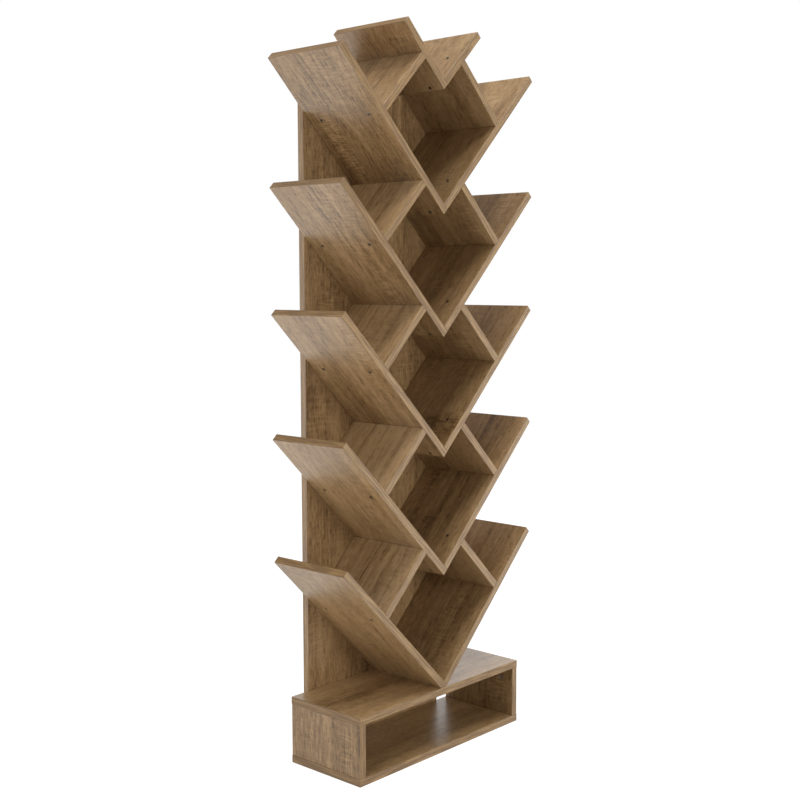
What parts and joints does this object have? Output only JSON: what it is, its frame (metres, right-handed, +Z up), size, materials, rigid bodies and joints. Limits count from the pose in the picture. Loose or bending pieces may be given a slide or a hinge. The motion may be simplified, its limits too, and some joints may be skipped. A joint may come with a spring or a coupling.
{
  "type": "tree bookcase",
  "caption": "Tree-shaped bookcase: slanted shelf boards in stacked V shapes with short dividers and a back board, on an open-fronted base box.",
  "frame": {"origin": "middle of the footprint, on the floor", "axes": "+Z up, +Y to the back board, so the open front faces -Y, +X to the right seen from the front"},
  "size_m": [0.5722, 0.205, 1.451],
  "materials": {
    "oak_laminate": "satin wood-effect laminate on particle board",
    "dark_steel": "dark",
    "zinc": "satin",
    "beech": "raw"
  },
  "bodies": {
    "root": {"left_arm_1": "oak_laminate", "right_arm_1": "oak_laminate", "left_arm_2": "oak_laminate", "right_arm_2": "oak_laminate", "left_arm_3": "oak_laminate", "right_arm_3": "oak_laminate", "left_arm_4": "oak_laminate", "right_arm_4": "oak_laminate", "left_arm_5": "oak_laminate", "right_arm_5": "oak_laminate", "left_arm_top": "oak_laminate", "right_arm_top": "oak_laminate", "left_divider_1": "oak_laminate", "right_divider_1": "oak_laminate", "left_divider_2": "oak_laminate", "right_divider_2": "oak_laminate", "left_divider_3": "oak_laminate", "right_divider_3": "oak_laminate", "left_divider_4": "oak_laminate", "right_divider_4": "oak_laminate", "left_divider_5": "oak_laminate", "right_divider_5": "oak_laminate", "base_top": "oak_laminate", "base_bottom": "oak_laminate", "base_left_side": "oak_laminate", "base_right_side": "oak_laminate", "back_board_lower": "oak_laminate", "back_board_middle": "oak_laminate", "back_board_upper": "oak_laminate", "point_screws": "dark_steel", "divider_foot_screws": "dark_steel", "divider_top_screws": "dark_steel", "base_screws": "dark_steel", "back_screws": "dark_steel", "foot_screws": "dark_steel", "cam_locks": "zinc", "cam_bolts": "zinc", "base_dowels": "beech", "back_dowels": "beech"}
  },
  "joints": []
}
